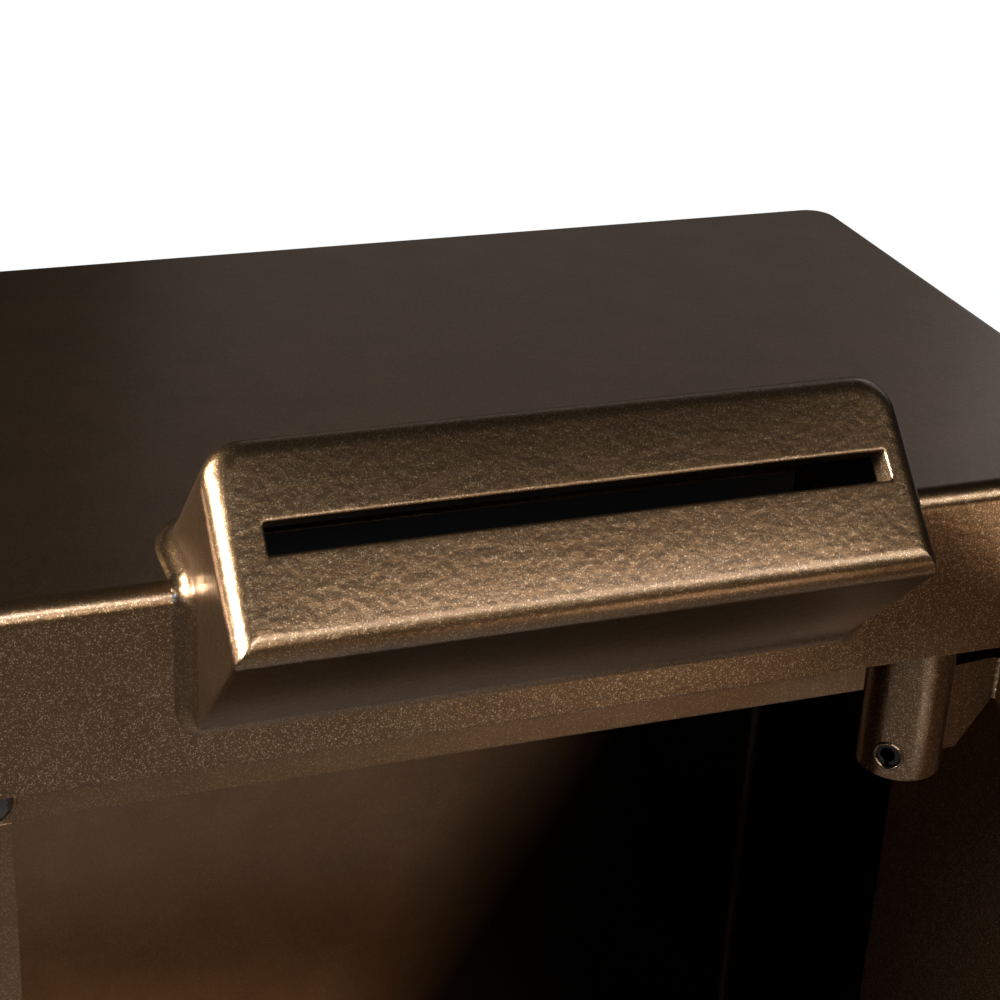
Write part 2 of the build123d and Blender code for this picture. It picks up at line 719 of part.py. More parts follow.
# Tongue: the sliding bar that the key throws, with its end fixed to the bolt bar
bolt_y = lip_back_y + bolt_behind_lip + bolt_radius
bolt_tip_x = -inner_half_width + strike_width + bolt_strike_clearance
bar_left_x = bolt_tip_x + guide_sheet + guide_bar_clearance + bolt_throw
bar_right_x = bar_left_x + bolt_bar_sheet
bolt_spacing = door_height - 2 * bolt_end_inset
tongue_right_x = lock_mid_x - lock_width / 2 + tongue_length
with BuildPart() as lock_tongue:
    with BuildSketch(door_face_plane(0, tongue_y + tongue_thickness, tongue_z)):
        with BuildLine():
            Polyline(
                (bar_right_x, -tongue_height / 2),
                (bar_right_x, tongue_height / 2),
                (tongue_right_x, tongue_height / 2),
                (tongue_right_x, -tongue_height / 2),
                close=True,
            )
        make_face()
    extrude(amount=tongue_thickness)
save(lock_tongue, "lock_tongue")

with BuildPart() as bolt_bar:
    with BuildSketch(door_side_plane(bar_left_x, bolt_y, tongue_z)):
        RectangleRounded(bolt_bar_width, bolt_spacing + 2 * bolt_bar_overhang, bolt_bar_sheet / 2)
    extrude(amount=bolt_bar_sheet)
save(bolt_bar, "bolt_bar")

bolt_heights = (tongue_z - bolt_spacing / 2, tongue_z + bolt_spacing / 2)
with BuildPart() as round_bolts:
    for height in bolt_heights:
        with BuildSketch(door_side_plane(bolt_tip_x, bolt_y, height)):
            Circle(bolt_radius)
        extrude(amount=bar_left_x - bolt_tip_x)
    tips = round_bolts.edges().filter_by(GeomType.CIRCLE).group_by(Axis((0, 0, 0), door_right))[0]
    chamfer(tips, bolt_tip_chamfer)
save(round_bolts, "round_bolts")

# Angle brackets welded to the door, with the holes that the bolts slide in
guide_depth = bolt_y - door_back_y + bolt_radius + guide_sheet
with BuildPart() as bolt_guides:
    for height in bolt_heights:
        with BuildSketch(door_level_plane(bolt_tip_x, door_back_y, height - guide_height / 2)) as angle:
            with BuildLine():
                Polyline(
                    (0, 0),
                    (0, guide_depth),
                    (guide_sheet, guide_depth),
                    (guide_sheet, guide_sheet),
                    (guide_foot, guide_sheet),
                    (guide_foot, 0),
                    close=True,
                )
            make_face()
            fillet(angle.vertices().sort_by_distance((0, 0, 0))[0], guide_bend_radius)
        extrude(amount=guide_height)
        with BuildSketch(door_side_plane(bolt_tip_x, bolt_y, height)):
            Circle(bolt_radius + bolt_fit)
        extrude(amount=guide_sheet, mode=Mode.SUBTRACT)
save(bolt_guides, "bolt_guides")

# Escutcheon round the keyhole, outside the door
with BuildPart() as key_escutcheon:
    with BuildSketch(door_face_plane(key_x, front_y, key_z)):
        Circle(escutcheon_radius)
    extrude(amount=escutcheon_height)
    extrude(keyhole_sketch(front_y), amount=escutcheon_height, mode=Mode.SUBTRACT)
save(key_escutcheon, "key_escutcheon")

# Key: ring bow, round shank and a bit that lifts the levers
key_tip_y = lock_back_y - key_fit
bit_length = lever_count * (lever_sheet + lever_gap) + tongue_thickness
bow_y = front_y - escutcheon_height - key_neck
with BuildPart() as lock_key:
    with BuildSketch(door_face_plane(key_x, key_tip_y, key_z)):
        Circle(key_shank_radius)
    extrude(amount=key_tip_y - bow_y)
    bow_centre_y = bow_y - key_bow_radius + key_bow_rim / 2
    with BuildSketch(door_side_plane(key_x - key_bow_thickness / 2, bow_centre_y, key_z)):
        Circle(key_bow_radius)
        Circle(key_bow_radius - key_bow_rim, mode=Mode.SUBTRACT)
    extrude(amount=key_bow_thickness)
    bit_y = tongue_y + bit_length
    with BuildSketch(door_side_plane(key_x - key_bit_thickness / 2, bit_y, key_z)):
        with BuildLine():
            Polyline(
                (0, 0),
                (0, -key_bit_radius),
                (-bit_length / 4, -key_bit_radius),
                (-bit_length / 4, -key_bit_radius * 0.75),
                (-bit_length / 2, -key_bit_radius * 0.75),
                (-bit_length / 2, -key_bit_radius),
                (-bit_length, -key_bit_radius),
                (-bit_length, 0),
                close=True,
            )
        make_face()
    extrude(amount=key_bit_thickness)
save(lock_key, "lock_key")
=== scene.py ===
import json
import math
import bpy
import bmesh
from mathutils import Matrix, Vector


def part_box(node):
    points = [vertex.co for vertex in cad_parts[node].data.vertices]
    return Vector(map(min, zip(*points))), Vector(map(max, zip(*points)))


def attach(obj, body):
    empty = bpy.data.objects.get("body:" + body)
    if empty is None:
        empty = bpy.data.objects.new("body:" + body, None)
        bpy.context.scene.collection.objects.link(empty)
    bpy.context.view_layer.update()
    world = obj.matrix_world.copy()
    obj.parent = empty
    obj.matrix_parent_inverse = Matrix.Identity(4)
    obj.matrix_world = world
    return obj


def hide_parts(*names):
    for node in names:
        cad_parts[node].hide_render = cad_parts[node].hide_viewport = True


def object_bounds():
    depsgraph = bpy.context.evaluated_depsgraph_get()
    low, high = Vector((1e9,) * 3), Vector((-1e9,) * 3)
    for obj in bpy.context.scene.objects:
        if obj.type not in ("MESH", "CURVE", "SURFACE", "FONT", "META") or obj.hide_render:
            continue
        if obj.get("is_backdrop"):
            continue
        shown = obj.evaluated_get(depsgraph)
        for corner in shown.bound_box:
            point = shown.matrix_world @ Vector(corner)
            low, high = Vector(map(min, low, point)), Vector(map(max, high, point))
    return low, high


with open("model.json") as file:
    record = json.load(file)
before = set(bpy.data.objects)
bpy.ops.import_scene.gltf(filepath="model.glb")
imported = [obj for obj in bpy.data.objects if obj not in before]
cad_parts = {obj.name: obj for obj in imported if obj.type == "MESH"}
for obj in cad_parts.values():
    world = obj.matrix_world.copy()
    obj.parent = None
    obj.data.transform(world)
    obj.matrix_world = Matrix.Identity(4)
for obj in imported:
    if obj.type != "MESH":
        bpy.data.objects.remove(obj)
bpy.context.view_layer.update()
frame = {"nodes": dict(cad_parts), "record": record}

# Studio: the safe stands on a wide floor under a white sky, and is seen from above and from the
# left, close to the slot. Slim soft boxes at the front light its bends, two with narrow beams
# stand at the left, and its roof mirrors two wide ones at the back.
scene = bpy.context.scene
mm = 0.001
camera_at = Vector((-149.7, -445.4, 551.8)) * mm
camera_forward = Vector((0.3249, 0.8360, -0.4423)).normalized()
camera_up = Vector((0.1106, 0.4309, 0.8956))
camera_right = camera_forward.cross(camera_up).normalized()
camera_up = camera_right.cross(camera_forward)
camera_data = bpy.data.cameras.new("camera")
camera_data.sensor_width = 36.0
camera_data.lens = 80.75
camera_data.clip_start = 0.01
camera = bpy.data.objects.new("camera", camera_data)
camera.matrix_world = Matrix.Translation(camera_at) @ Matrix(
    (camera_right, camera_up, -camera_forward)).transposed().to_4x4()
scene.collection.objects.link(camera)
scene.camera = camera
scene.view_settings.view_transform = "Standard"

subject = Vector((0.0, -0.09, 0.34))


def soft_box(name, direction, distance, width, height, watts, colour, spread=180):
    """Rectangular lamp that stands in a direction from the hood and faces it."""
    data = bpy.data.lights.new(name, "AREA")
    data.shape = "RECTANGLE"
    data.size = width
    data.size_y = height
    data.energy = watts
    data.color = colour
    data.spread = math.radians(spread)
    box = bpy.data.objects.new(name, data)
    towards = Vector(direction).normalized()
    box.location = subject + towards * distance
    box.rotation_euler = towards.to_track_quat("Z", "Y").to_euler()
    scene.collection.objects.link(box)


soft_box("front_box", (0.16, -0.82, 0.545), 1.3, 1.0, 0.22, 1.8, (0.75, 0.88, 1.0))
soft_box("upper_front_box", (0.15, -0.73, 0.67), 1.3, 1.0, 0.20, 2.3, (0.95, 0.94, 1.0))
soft_box("low_front_box", (-0.08, -0.96, 0.26), 1.3, 0.4, 0.25, 2.7, (1.0, 0.98, 0.92))
soft_box("front_left_box", (-0.10, -0.76, 0.62), 1.3, 0.4, 0.24, 6.4, (0.72, 0.85, 1.0))
soft_box("front_right_box", (0.62, -0.62, 0.45), 1.3, 0.6, 0.4, 3.5, (0.90, 0.97, 1.0))
soft_box("left_box", (-0.90, -0.06, 0.43), 1.2, 0.45, 0.35, 8.0, (0.82, 0.90, 1.0), 60)
soft_box("left_back_box", (-0.75, 0.45, 0.45), 1.2, 0.5, 0.5, 2.4, (0.95, 0.95, 0.85), 60)
soft_box("back_right_box", (0.75, 0.56, 0.36), 1.8, 1.0, 0.9, 0.9, (0.80, 0.88, 1.0))
soft_box("back_box", (0.44, 0.81, 0.40), 1.8, 1.2, 0.9, 0.42, (1.0, 0.97, 0.98))
soft_box("low_box", (0.50, -0.75, -0.36), 0.75, 0.3, 0.25, 0.5, (1.0, 0.78, 0.55))


class Wire:
    """A node's output that can be used in sums like a number."""

    def __init__(self, owner, socket):
        self.owner = owner
        self.socket = socket

    def sum(self, operation, first, second):
        return self.owner.node("Math", {"operation": operation}, {0: first, 1: second})

    def __add__(self, other):
        return self.sum("ADD", self, other)

    def __radd__(self, other):
        return self.sum("ADD", other, self)

    def __sub__(self, other):
        return self.sum("SUBTRACT", self, other)

    def __rsub__(self, other):
        return self.sum("SUBTRACT", other, self)

    def __mul__(self, other):
        return self.sum("MULTIPLY", self, other)

    def __rmul__(self, other):
        return self.sum("MULTIPLY", other, self)

    def clamped(self, low, high):
        """This value spread so that low gives 0 and high gives 1, and held there."""
        sockets = {"Value": self, "From Min": low, "From Max": high}
        return self.owner.node("MapRange", {"clamp": True}, sockets)


class NodeTree:
    """A node tree, to which one method adds every node."""

    def __init__(self, tree):
        self.tree = tree

    def feed(self, socket, value):
        if isinstance(value, Wire):
            self.tree.links.new(value.socket, socket)
        else:
            socket.default_value = value

    def node(self, kind, settings, sockets, output=None):
        """Add a node, and return the output that is named, or else its first."""
        made = self.tree.nodes.new("ShaderNode" + kind)
        for key, value in settings.items():
            setattr(made, key, value)
        for key, value in sockets.items():
            by_name = [socket for socket in made.inputs if socket.name == key and socket.enabled]
            self.feed(made.inputs[key] if isinstance(key, int) else by_name[0], value)
        in_use = [socket for socket in made.outputs if socket.enabled]
        return Wire(self, made.outputs[output] if output else in_use[0])

    def surface(self, shader):
        """Send a shader to the tree's output."""
        output = next(node for node in self.tree.nodes if node.type.startswith("OUTPUT"))
        self.feed(output.inputs["Surface"], shader)


sky = bpy.data.worlds.new("sky")
sky.use_nodes = True
sky.node_tree.nodes.remove(sky.node_tree.nodes["Background"])
sky_light = NodeTree(sky.node_tree)
sky_seen = sky_light.node("LightPath", {}, {}, "Is Camera Ray")
faint = sky_light.node("Background", {}, {"Color": (0.85, 0.93, 1.0, 1), "Strength": 0.01})
backdrop = sky_light.node("Background", {}, {"Color": (1, 1, 1, 1), "Strength": 1.0})
sky_light.surface(sky_light.node("MixShader", {}, {0: sky_seen, 1: faint, 2: backdrop}))
scene.world = sky


class Finish(NodeTree):
    """A material with one Principled shader."""

    def __init__(self, name):
        self.material = bpy.data.materials.new(name)
        self.material.use_nodes = True
        super().__init__(self.material.node_tree)
        self.shader = next(node for node in self.tree.nodes if node.type == "BSDF_PRINCIPLED")
        self.place = self.node("TexCoord", {}, {}, "Object")

    def mix(self, first, second, factor):
        """Colours mixed by a factor."""
        return self.node("Mix", {"data_type": "RGBA"}, {"Factor": factor, "A": first, "B": second})

    def along(self, axis):
        """The place on the piece along X, Y or Z."""
        return self.node("SeparateXYZ", {}, {"Vector": self.place}, axis)

    def noise(self, size, detail=2.0, roughness=0.5, place=None):
        """Even noise whose features are about size metres across."""
        sockets = {"Vector": place or self.place, "Scale": 1 / size}
        sockets.update({"Detail": detail, "Roughness": roughness})
        return self.node("TexNoise", {}, sockets, "Fac")

    def set(self, **values):
        for name, value in values.items():
            self.feed(self.shader.inputs[name.replace("_", " ")], value)

    def bump(self, edge, *layers):
        """Edges softened by a radius, then bumps of (height value, depth in metres) over them."""
        normal = self.node("Bevel", {"samples": 4}, {"Radius": edge})
        for height, depth in layers:
            normal = self.node("Bump", {}, {
                "Height": height, "Distance": depth, "Strength": 1.0, "Normal": normal})
        self.set(Normal=normal)


floor_reach = 12.0
floor_corners = [(-1, -1), (1, -1), (1, 1), (-1, 1)]
floor_mesh = bpy.data.meshes.new("floor")
floor_mesh.from_pydata([(x * floor_reach, y * floor_reach, 0) for x, y in floor_corners], [], [(0, 1, 2, 3)])
floor = bpy.data.objects.new("floor", floor_mesh)
scene.collection.objects.link(floor)
floor_paint = Finish("floor_paint")
floor_paint.set(Base_Color=(0.14, 0.13, 0.12, 1), Roughness=0.9)
seen = floor_paint.node("LightPath", {}, {}, "Is Camera Ray")
lit = Wire(floor_paint, floor_paint.shader.outputs["BSDF"])
glow = floor_paint.node("Emission", {}, {"Color": (1, 1, 1, 1), "Strength": 1.0})
floor_paint.surface(floor_paint.node("MixShader", {}, {0: seen, 1: lit, 2: glow}))
floor_mesh.materials.append(floor_paint.material)
floor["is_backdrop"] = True

# Body shell: floor pan with its sill, the side wrap and the roof with its rail are folded steel
# sheet, welded and then sprayed with one bronze powder coat. The coat is dark brown with fine
# gold flake and low waves of orange peel. Inside it is smooth, and towards the deep right corner
# it fades to near black: painted shade where the wrap's inside gets little light.
brown_dark = (0.185, 0.094, 0.038, 1)
brown_light = (0.235, 0.125, 0.054, 1)
flake_gold = (1.0, 0.76, 0.47, 1)
# Near-black brown for the painted shade inside the wrap's deep right side.
painted_shade_brown = (0.012, 0.008, 0.005, 1)
dust_grey = (0.75, 0.74, 0.72, 1)
flake_size = 0.2 * mm
flake_share = 0.70
cloud_size = 16 * mm
peel_size = 2.0 * mm
paint_edge = 0.6 * mm
grain_depth = 0.022 * mm
roof_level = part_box("top_cover")[1].z
roof_fade = (3.0 * mm, 0.4 * mm)
roof_peel = 0.28
roof_flake = 0.2
dust_pitch = 38 * mm
dust_size = 0.22 * mm
half_sheet = 0.9 * mm
inner_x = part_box("side_wrap")[1].x - half_sheet
inner_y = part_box("side_wrap")[1].y - half_sheet
inner_edge = 0.4 * mm
inside_flat = 0.85
# Painted shade inside the wrap: how it leans with height, and where it runs from lit to dark.
painted_shade_lean = 0.6
painted_shade_span = (-60 * mm, -14 * mm)
nowhere = 10.0


def cover(material, *names):
    """Give CAD nodes one finish."""
    for name in names:
        for slot in frame["nodes"][name].material_slots:
            slot.material = material


def bronze_paint(name, peel_depth, sparkle, rough=0.27, flat_above=nowhere, smooth_and_shaded_inside=0.0):
    """Metallic powder coat, flatter above a level, and smooth inside the wrap, with painted shade darkening
    its deep right side.
    """
    paint = Finish(name)
    x, y, level = (paint.along(axis) for axis in "XYZ")
    on_roof = level.clamped(flat_above - roof_fade[0], flat_above - roof_fade[1])
    off_left_wall = x.clamped(-inner_x - inner_edge, -inner_x)
    off_right_wall = x.clamped(inner_x + inner_edge, inner_x)
    off_back_wall = y.clamped(inner_y + inner_edge, inner_y)
    inside = off_right_wall * off_back_wall * off_left_wall * smooth_and_shaded_inside
    flake = paint.node("TexVoronoi", {}, {"Vector": paint.place, "Scale": 1 / flake_size}, "Color")
    smooth = 1 - inside_flat * inside
    bright = flake.clamped(flake_share, 1.0) * sparkle * (1 - (1 - roof_flake) * on_roof) * smooth
    cloud = paint.noise(cloud_size, 3.0, 0.6).clamped(0.25, 0.75)
    coat = paint.mix(paint.mix(brown_dark, brown_light, cloud), flake_gold, bright)
    # Painted shade: inside the wrap the coat darkens towards the right and the bottom, and loses most of its
    # gloss coat there.
    painted_shade = (x - painted_shade_lean * level).clamped(*painted_shade_span) * inside
    coat = paint.mix(coat, painted_shade_brown, painted_shade)
    speck = paint.node("TexVoronoi", {}, {"Vector": paint.place, "Scale": 1 / dust_pitch}, "Distance")
    dust = (1 - speck.clamped(0.7 * dust_size / dust_pitch, dust_size / dust_pitch)) * on_roof
    grain = paint.noise(1.6 * flake_size, 1.0, 0.5)
    paint.set(
        Base_Color=paint.mix(coat, dust_grey, dust),
        Metallic=1.0,
        Roughness=rough + 0.06 * grain,
        Coat_Weight=0.7 - 0.66 * painted_shade,
        Coat_Roughness=0.21,
    )
    peel = paint.noise(peel_size, 1.6, 0.5)
    waves = peel * (1 - (1 - roof_peel) * on_roof) * smooth
    paint.bump(paint_edge, (waves, peel_depth), (grain, grain_depth))
    return paint.material


bronze = bronze_paint("bronze_paint", 0.13 * mm, 1.0, flat_above=roof_level)
cover(bronze, "top_cover", "base_pan")
# Inside, the wrap is smooth and carries painted shade on its deep right side.
cover(bronze_paint("wrap_bronze", 0.13 * mm, 1.0, smooth_and_shaded_inside=1.0), "side_wrap")

# Stop lips: three joggled strips of sheet, spot welded behind the rail, the sill and the left
# wall and sprayed with the body. The closed door lands on them.
lip_bronze = bronze_paint("lip_bronze", 0.04 * mm, 0.45, 0.34)
cover(lip_bronze, "stop_lip_top", "stop_lip_left", "stop_lip_bottom")

# Buffers: two low glossy buttons whose stems are pressed into the strike strip, so that the
# door closes without a knock. The coat is thick where it meets each button's edge.
buffer_height = 2.0 * mm
buffer_radius = 4.8 * mm
buffer_rim = 0.5 * mm
buffer_stem = 0.4 * buffer_radius
rim_gap = 0.45 * mm
rim_thick = 0.75 * mm
turned_steps = 48
dome_steps = 12
bead_steps = 10
bead_wave = 5


def solids(name):
    """The separate solids of a CAD node, each as a list of its corners."""
    whole = bmesh.new()
    whole.from_mesh(frame["nodes"][name].data)
    whole.transform(frame["nodes"][name].matrix_world)
    bmesh.ops.remove_doubles(whole, verts=whole.verts, dist=0.001 * mm)
    left = set(whole.verts)
    found = []
    while left:
        reached = [left.pop()]
        for corner in reached:
            for edge in corner.link_edges:
                other = edge.other_vert(corner)
                if other in left:
                    left.remove(other)
                    reached.append(other)
        found.append([corner.co.copy() for corner in reached])
    whole.free()
    return sorted(found, key=lambda corners: -corners[0].z)


def span(corners, way):
    """How far a solid reaches along a direction."""
    reach = [corner.dot(way) for corner in corners]
    return min(reach), max(reach)


def middle(corners):
    """The middle of a solid's box."""
    ways = (Vector((1, 0, 0)), Vector((0, 1, 0)), Vector((0, 0, 1)))
    return Vector([sum(span(corners, way)) / 2 for way in ways])


def hoop(centre, axis, radius, steps=turned_steps):
    """Points of a circle about an axis."""
    across = axis.orthogonal().normalized()
    along = axis.cross(across)
    angles = [2 * math.pi * step / steps for step in range(steps)]
    return [centre + (across * math.cos(angle) + along * math.sin(angle)) * radius for angle in angles]


def skin(name, rings, ring_closed=False):
    """A mesh over rings of points, either joined in a circle or capped at both ends."""
    count = len(rings[0])
    made = bmesh.new()
    corners = [[made.verts.new(point) for point in ring] for ring in rings]
    for first, ring in enumerate(corners if ring_closed else corners[:-1]):
        after = corners[(first + 1) % len(corners)]
        for index in range(count):
            beside = (index + 1) % count
            made.faces.new((ring[index], ring[beside], after[beside], after[index]))
    if not ring_closed:
        made.faces.new(corners[0])
        made.faces.new(corners[-1])
    bmesh.ops.recalc_face_normals(made, faces=made.faces)
    mesh = bpy.data.meshes.new(name)
    made.to_mesh(mesh)
    made.free()
    return mesh


def joined(name, meshes):
    """Several meshes as one."""
    whole = bmesh.new()
    for mesh in meshes:
        whole.from_mesh(mesh)
    made = bpy.data.meshes.new(name)
    whole.to_mesh(made)
    whole.free()
    return made


def fit(name, mesh, material, body, slot, *nodes, crease=35):
    """Show a mesh that rides on a body, in place of the CAD nodes that it stands for."""
    shaded = bmesh.new()
    shaded.from_mesh(mesh)
    for edge in shaded.edges:
        edge.smooth = len(edge.link_faces) < 2 or edge.calc_face_angle(0) < math.radians(crease)
    for face in shaded.faces:
        face.smooth = True
    shaded.to_mesh(mesh)
    shaded.free()
    mesh.materials.append(material)
    piece = bpy.data.objects.new(name, mesh)
    scene.collection.objects.link(piece)
    weighted = piece.modifiers.new("even_shading", "WEIGHTED_NORMAL")
    weighted.keep_sharp = True
    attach(piece, body)
    for node in nodes:
        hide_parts(node)


def buffer_button(corners):
    """A domed button with its pressed stem."""
    front, back = span(corners, Vector((0, 1, 0)))
    seat = middle(corners)
    outward = Vector((0, -1, 0))
    seat.y = front + buffer_height
    stem_end = seat - outward * (back - seat.y)
    rings = [hoop(stem_end, outward, buffer_stem), hoop(seat, outward, buffer_stem)]
    rings.append(hoop(seat, outward, buffer_radius))
    for angle in (math.pi / 2 * step / dome_steps for step in range(dome_steps)):
        rise = buffer_rim + (buffer_height - buffer_rim) * math.sin(angle)
        rings.append(hoop(seat + outward * rise, outward, buffer_radius * math.cos(angle)))
    return skin("button", rings)


def ridge(points, normals, radius, closed=True, ripple=0.0):
    """A bead that follows points on a surface, half sunk into it."""
    rings = []
    count = len(points)
    for index, (point, normal) in enumerate(zip(points, normals)):
        ahead = points[(index + 1) % count] if closed else points[min(index + 1, count - 1)]
        behind = points[index - 1] if closed else points[max(index - 1, 0)]
        side = (ahead - behind).normalized().cross(normal)
        thick = radius * (1 + ripple * math.sin(2 * math.pi * index / bead_wave))
        rings.append([
            point + (normal * math.cos(angle) + side * math.sin(angle)) * thick
            for angle in (2 * math.pi * step / bead_steps for step in range(bead_steps))])
    return skin("bead", rings, closed)


gloss = Finish("buffer_gloss")
gloss.set(Base_Color=(0.022, 0.016, 0.012, 1), Roughness=0.14, Coat_Weight=0.6, Coat_Roughness=0.06)
gloss.bump(0.2 * mm, (gloss.noise(1.4 * mm), 0.01 * mm))
buttons = solids("buffers")
fit("buffer_buttons", joined("buttons", [buffer_button(corners) for corners in buttons]), gloss.material,
    "body", "buffer_gloss", "buffers", crease=60)
edge_bronze = bronze_paint("edge_bronze", 0.10 * mm, 1.0, 0.18)
rims = []
for corners in buttons:
    seat = middle(corners)
    seat.y = span(corners, Vector((0, 1, 0)))[0] + buffer_height
    outward = Vector((0, -1, 0))
    path = hoop(seat, outward, buffer_radius + rim_gap)
    rims.append(ridge(path, [outward] * turned_steps, rim_thick, ripple=0.08))
fit("buffer_paint_rims", joined("rims", rims), edge_bronze, "body", "bronze_paint", crease=80)

# Deposit hood: a slanted steel nose over the roof's front edge, cast in one piece with its slot
# plate, welded on and filled at the foot, so that it grows out of the sheet in a smooth curve.
corner = Vector((0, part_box("top_cover")[0].y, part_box("top_cover")[1].z))
slope = math.sqrt(0.5)
bend_radius = 4.0 * mm
hood_half_width = 70.0 * mm
hood_top = 20.3 * mm
hood_bottom = -22.1 * mm
hood_face = 25.1 * mm
hood_edge_radius = 5.0 * mm
hood_top_corner = 8.5 * mm
hood_low_corner = 1.2 * mm
hood_sharp_corner = 0.5 * mm
hood_weld_radius = 3.9 * mm
weld_run_out = 0.8 * mm
weld_sink = 0.05 * mm
hollow_sink = 0.1 * mm
hood_crown = 0.6 * mm
hood_plate = 6.0 * mm
hood_wall = 4.0 * mm
slot_centre = (1.2 * mm, -0.05 * mm)
slot_half_width = 62.1 * mm
slot_half_height = 3.1 * mm
slot_corner_radius = 0.6 * mm
slot_lip_round = 0.5 * mm
slot_lip_depth = 3.4 * mm
loop_steps = {"long": 28, "short": 26, "corner": 8}
weld_steps = 8
edge_steps = 10
mouth_steps = 4
face_shares = (0.2, 0.4, 0.6, 0.8, 0.93, 1.0)


def hood_point(x, up, out):
    """A point up the slope and out from the corner line of the roof and the rail."""
    return corner + Vector((x, (up - out) * slope, (up + out) * slope))


def rounded_loop(centre, half_width, top, bottom, top_radius, low_radius):
    """Points and outward directions round a rectangle in the plane of the slanted face."""
    right = centre + half_width
    left = centre - half_width
    sides = (
        ("long", (left + top_radius, top), (right - top_radius, top), (0, 1), top_radius),
        ("short", (right, top - top_radius), (right, bottom + low_radius), (1, 0), low_radius),
        ("long", (right - low_radius, bottom), (left + low_radius, bottom), (0, -1), low_radius),
        ("short", (left, bottom + low_radius), (left, top - top_radius), (-1, 0), top_radius),
    )
    loop = []
    for kind, start, end, outward, radius in sides:
        for step in range(loop_steps[kind]):
            t = step / loop_steps[kind]
            loop.append((start[0] + (end[0] - start[0]) * t, start[1] + (end[1] - start[1]) * t, *outward))
        pivot = (end[0] - outward[0] * radius, end[1] - outward[1] * radius)
        heading = math.atan2(outward[1], outward[0])
        for step in range(loop_steps["corner"]):
            angle = heading - math.pi / 2 * step / loop_steps["corner"]
            turned = (math.cos(angle), math.sin(angle))
            loop.append((pivot[0] + turned[0] * radius, pivot[1] + turned[1] * radius, *turned))
    return loop


def over_body(up, lift):
    """How far out the body's surface lies at up, raised by lift, and its direction there."""
    reach = bend_radius + lift
    if abs(up) < reach * slope:
        height = math.sqrt(reach ** 2 - up ** 2)
        return height - bend_radius / slope, (up / reach, height / reach)
    return lift / slope - abs(up), (math.copysign(slope, up), slope)


def outline_at(inset):
    """The hood's outline, drawn in by an inset, whose corners get sharper as it shrinks."""
    top_radius = max(hood_top_corner - inset, hood_sharp_corner)
    low_radius = max(hood_low_corner - inset, hood_sharp_corner)
    half_width = hood_half_width - inset
    return rounded_loop(0, half_width, hood_top - inset, hood_bottom + inset, top_radius, low_radius)


outline = outline_at(0)
slot_loop = rounded_loop(
    slot_centre[0], slot_half_width, slot_centre[1] + slot_half_height,
    slot_centre[1] - slot_half_height, slot_corner_radius, slot_corner_radius)
cavity_loop = rounded_loop(
    0, hood_half_width - hood_wall, hood_top - hood_wall, hood_bottom + hood_wall,
    slot_corner_radius, slot_corner_radius)
hood_middle = (hood_top + hood_bottom) / 2
face_half_width = hood_half_width - hood_edge_radius
face_half_height = (hood_top - hood_bottom) / 2 - hood_edge_radius


def crowned(x, up):
    """The slanted face's height, which swells a little towards its middle."""
    across = min(1, abs(x) / face_half_width)
    along = min(1, abs(up - hood_middle) / face_half_height)
    return hood_face + hood_crown * (1 - across ** 4) * (1 - along ** 2.6)


def weld_ring(turn):
    """A ball rolled round the foot: turn 0 is on the hood's wall and 1 on the sheet."""
    ring = []
    for x, up, side, rise in outline:
        ball = Vector((x + side * hood_weld_radius, up + rise * hood_weld_radius, 0))
        ball.z, sheet_way = over_body(ball.y, hood_weld_radius)
        wall_way = Vector((side, rise, 0))
        sheet_way = Vector((0, *sheet_way))
        ring.append(hood_point(*(ball - hood_weld_radius * wall_way.slerp(sheet_way, turn))))
    return ring


def foot_ring():
    """Just outside the weld and a little under the sheet, so that the weld runs out into it."""
    ring = []
    for x, up, side, rise in outline:
        ball_up = up + rise * hood_weld_radius
        sheet_way = over_body(ball_up, hood_weld_radius)[1]
        foot_up = ball_up - hood_weld_radius * sheet_way[0] + rise * weld_run_out * slope
        ring.append(hood_point(
            x + side * (hood_weld_radius + weld_run_out), foot_up, over_body(foot_up, 0)[0] - weld_sink))
    return ring


def edge_ring(angle):
    """The rounded edge between the hood's walls and its face."""
    drop = hood_edge_radius * (1 - math.sin(angle))
    return [hood_point(x, up, hood_face - drop)
            for x, up, _, _ in outline_at(hood_edge_radius * (1 - math.cos(angle)))]


def face_ring(share):
    """The slanted face, from its rounded edge towards the slot."""
    ring = []
    for (x, up, _, _), (slot_x, slot_up, side, rise) in zip(outline_at(hood_edge_radius), slot_loop):
        end_x = slot_x + side * slot_lip_round
        end_up = slot_up + rise * slot_lip_round
        place = (x + (end_x - x) * share, up + (end_up - up) * share)
        ring.append(hood_point(*place, crowned(*place)))
    return ring


def mouth_ring(angle):
    """The slot's softened lip."""
    spread = slot_lip_round * (1 - math.sin(angle))
    depth = slot_lip_round * (1 - math.cos(angle))
    return [hood_point(x + side * spread, up + rise * spread, crowned(x, up) - depth)
            for x, up, side, rise in slot_loop]


def hood_rings():
    """Rings from the foot of the weld over the face, into the slot and down the hollow."""
    rings = [foot_ring()]
    rings += [weld_ring(1 - step / weld_steps) for step in range(weld_steps + 1)]
    rings += [edge_ring(math.pi / 2 * step / edge_steps) for step in range(edge_steps + 1)]
    rings += [face_ring(share) for share in face_shares]
    rings += [mouth_ring(math.pi / 2 * step / mouth_steps) for step in range(1, mouth_steps + 1)]
    back = hood_face - hood_plate
    rings.append([hood_point(x, up - max(0, -rise) * slot_lip_depth, hood_face - slot_lip_depth)
                  for x, up, side, rise in slot_loop])
    relief = hood_plate - slot_lip_depth
    rings.append([hood_point(x, up + max(0, rise) * relief - max(0, -rise) * hood_plate, back)
                  for x, up, side, rise in slot_loop])
    rings.append([hood_point(x, up, back) for x, up, _, _ in cavity_loop])
    rings.append([hood_point(x, up, over_body(up, 0)[0] - hollow_sink) for x, up, _, _ in cavity_loop])
    return rings
